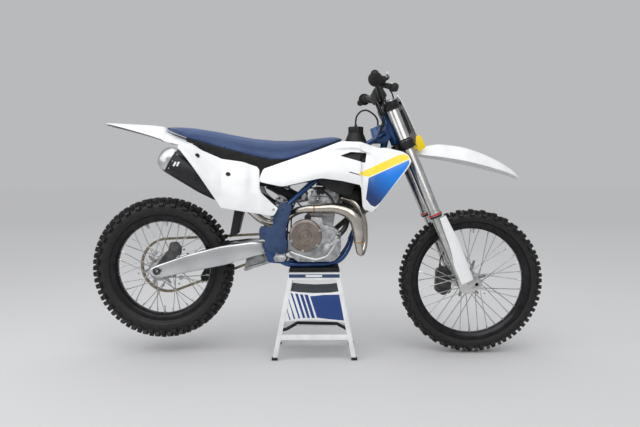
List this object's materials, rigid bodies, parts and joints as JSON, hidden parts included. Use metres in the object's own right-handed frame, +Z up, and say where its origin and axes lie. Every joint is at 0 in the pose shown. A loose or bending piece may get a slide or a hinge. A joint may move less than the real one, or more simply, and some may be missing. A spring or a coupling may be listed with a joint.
{
  "type": "motocross bike on a paddock stand",
  "caption": "Off-road motorcycle parked on a tapered metal stand, with steering fork, spoked wheels, white bodywork and a navy seat.",
  "frame": {"origin": "on the floor, under the middle of the overall length and width", "axes": "+X forward, +Y to the rider's left, +Z up"},
  "size_m": [2.173, 0.8126, 1.2983],
  "materials": {
    "blue_paint": "satin",
    "black_plastic": "matte",
    "navy_plastic": "matte",
    "cast_alloy": "cast, matte",
    "bronze_cover": "satin",
    "titanium": "brushed",
    "black_shell": "satin",
    "aluminium": "brushed",
    "steel": "brushed",
    "dark_steel": "brushed",
    "chain_steel": "brushed",
    "caliper_alloy": "satin",
    "radiator_alloy": "matte",
    "seat_cover": "grained",
    "white_plastic": "gloss",
    "rubber": "matte",
    "hose_rubber": "satin",
    "white_paint": "gloss",
    "navy_paint": "gloss",
    "black_alloy": "satin",
    "tyre": "matte"
  },
  "bodies": {
    "chassis": {"frame": "blue_paint", "subframe": "black_plastic", "airbox": "black_plastic", "frame_guards": "navy_plastic", "engine": "cast_alloy", "engine_covers": "bronze_cover", "exhaust_header": "titanium", "silencer": "black_shell", "silencer_cap": "aluminium", "shock_absorber": "steel", "shock_linkage": "aluminium", "swingarm": "aluminium", "rear_axle": "steel", "chain": "chain_steel", "chain_guide": "black_plastic", "rear_caliper": "caliper_alloy", "radiators": "radiator_alloy", "fuel_tank": "black_plastic", "tank_cap": "black_plastic", "seat": "seat_cover", "rear_fender": "white_plastic", "side_panels": "white_plastic", "shrouds": "white_plastic", "footpegs": "steel", "brake_pedal": "aluminium", "shift_lever": "black_plastic", "mud_flap": "rubber", "stand_frame": "white_paint", "stand_panels": "navy_paint", "stand_pad": "rubber"},
    "steering": {"lower_triple_clamp": "black_alloy", "upper_triple_clamp": "black_alloy", "fork_tubes": "aluminium", "fork_legs": "steel", "fork_guards": "white_plastic", "handlebar": "black_alloy", "grips": "rubber", "hand_controls": "black_alloy", "front_fender": "white_plastic", "number_plate": "white_plastic", "front_caliper": "caliper_alloy", "front_brake_hose": "hose_rubber", "front_axle": "steel"},
    "front_wheel": {"front_tyre": "tyre", "front_rim": "black_alloy", "front_hub": "aluminium", "front_disc": "steel"},
    "rear_wheel": {"rear_tyre": "tyre", "rear_rim": "black_alloy", "rear_hub": "aluminium", "rear_sprocket": "dark_steel", "rear_disc": "steel"}
  },
  "joints": [
    {"name": "steering", "type": "hinge", "parent": "chassis", "child": "steering", "pos_m": [0.52669, 0, 0.6626], "axis": [-0.3827, 0, 0.9239], "range_deg": [-42, 42]},
    {"name": "front_wheel_spin", "type": "hinge", "parent": "steering", "child": "front_wheel", "pos_m": [0.73849, 0, 0.34985], "axis": [0, 1, 0], "continuous": true},
    {"name": "rear_wheel_spin", "type": "hinge", "parent": "chassis", "child": "rear_wheel", "pos_m": [-0.74649, 0, 0.41701], "axis": [0, 1, 0], "continuous": true}
  ]
}
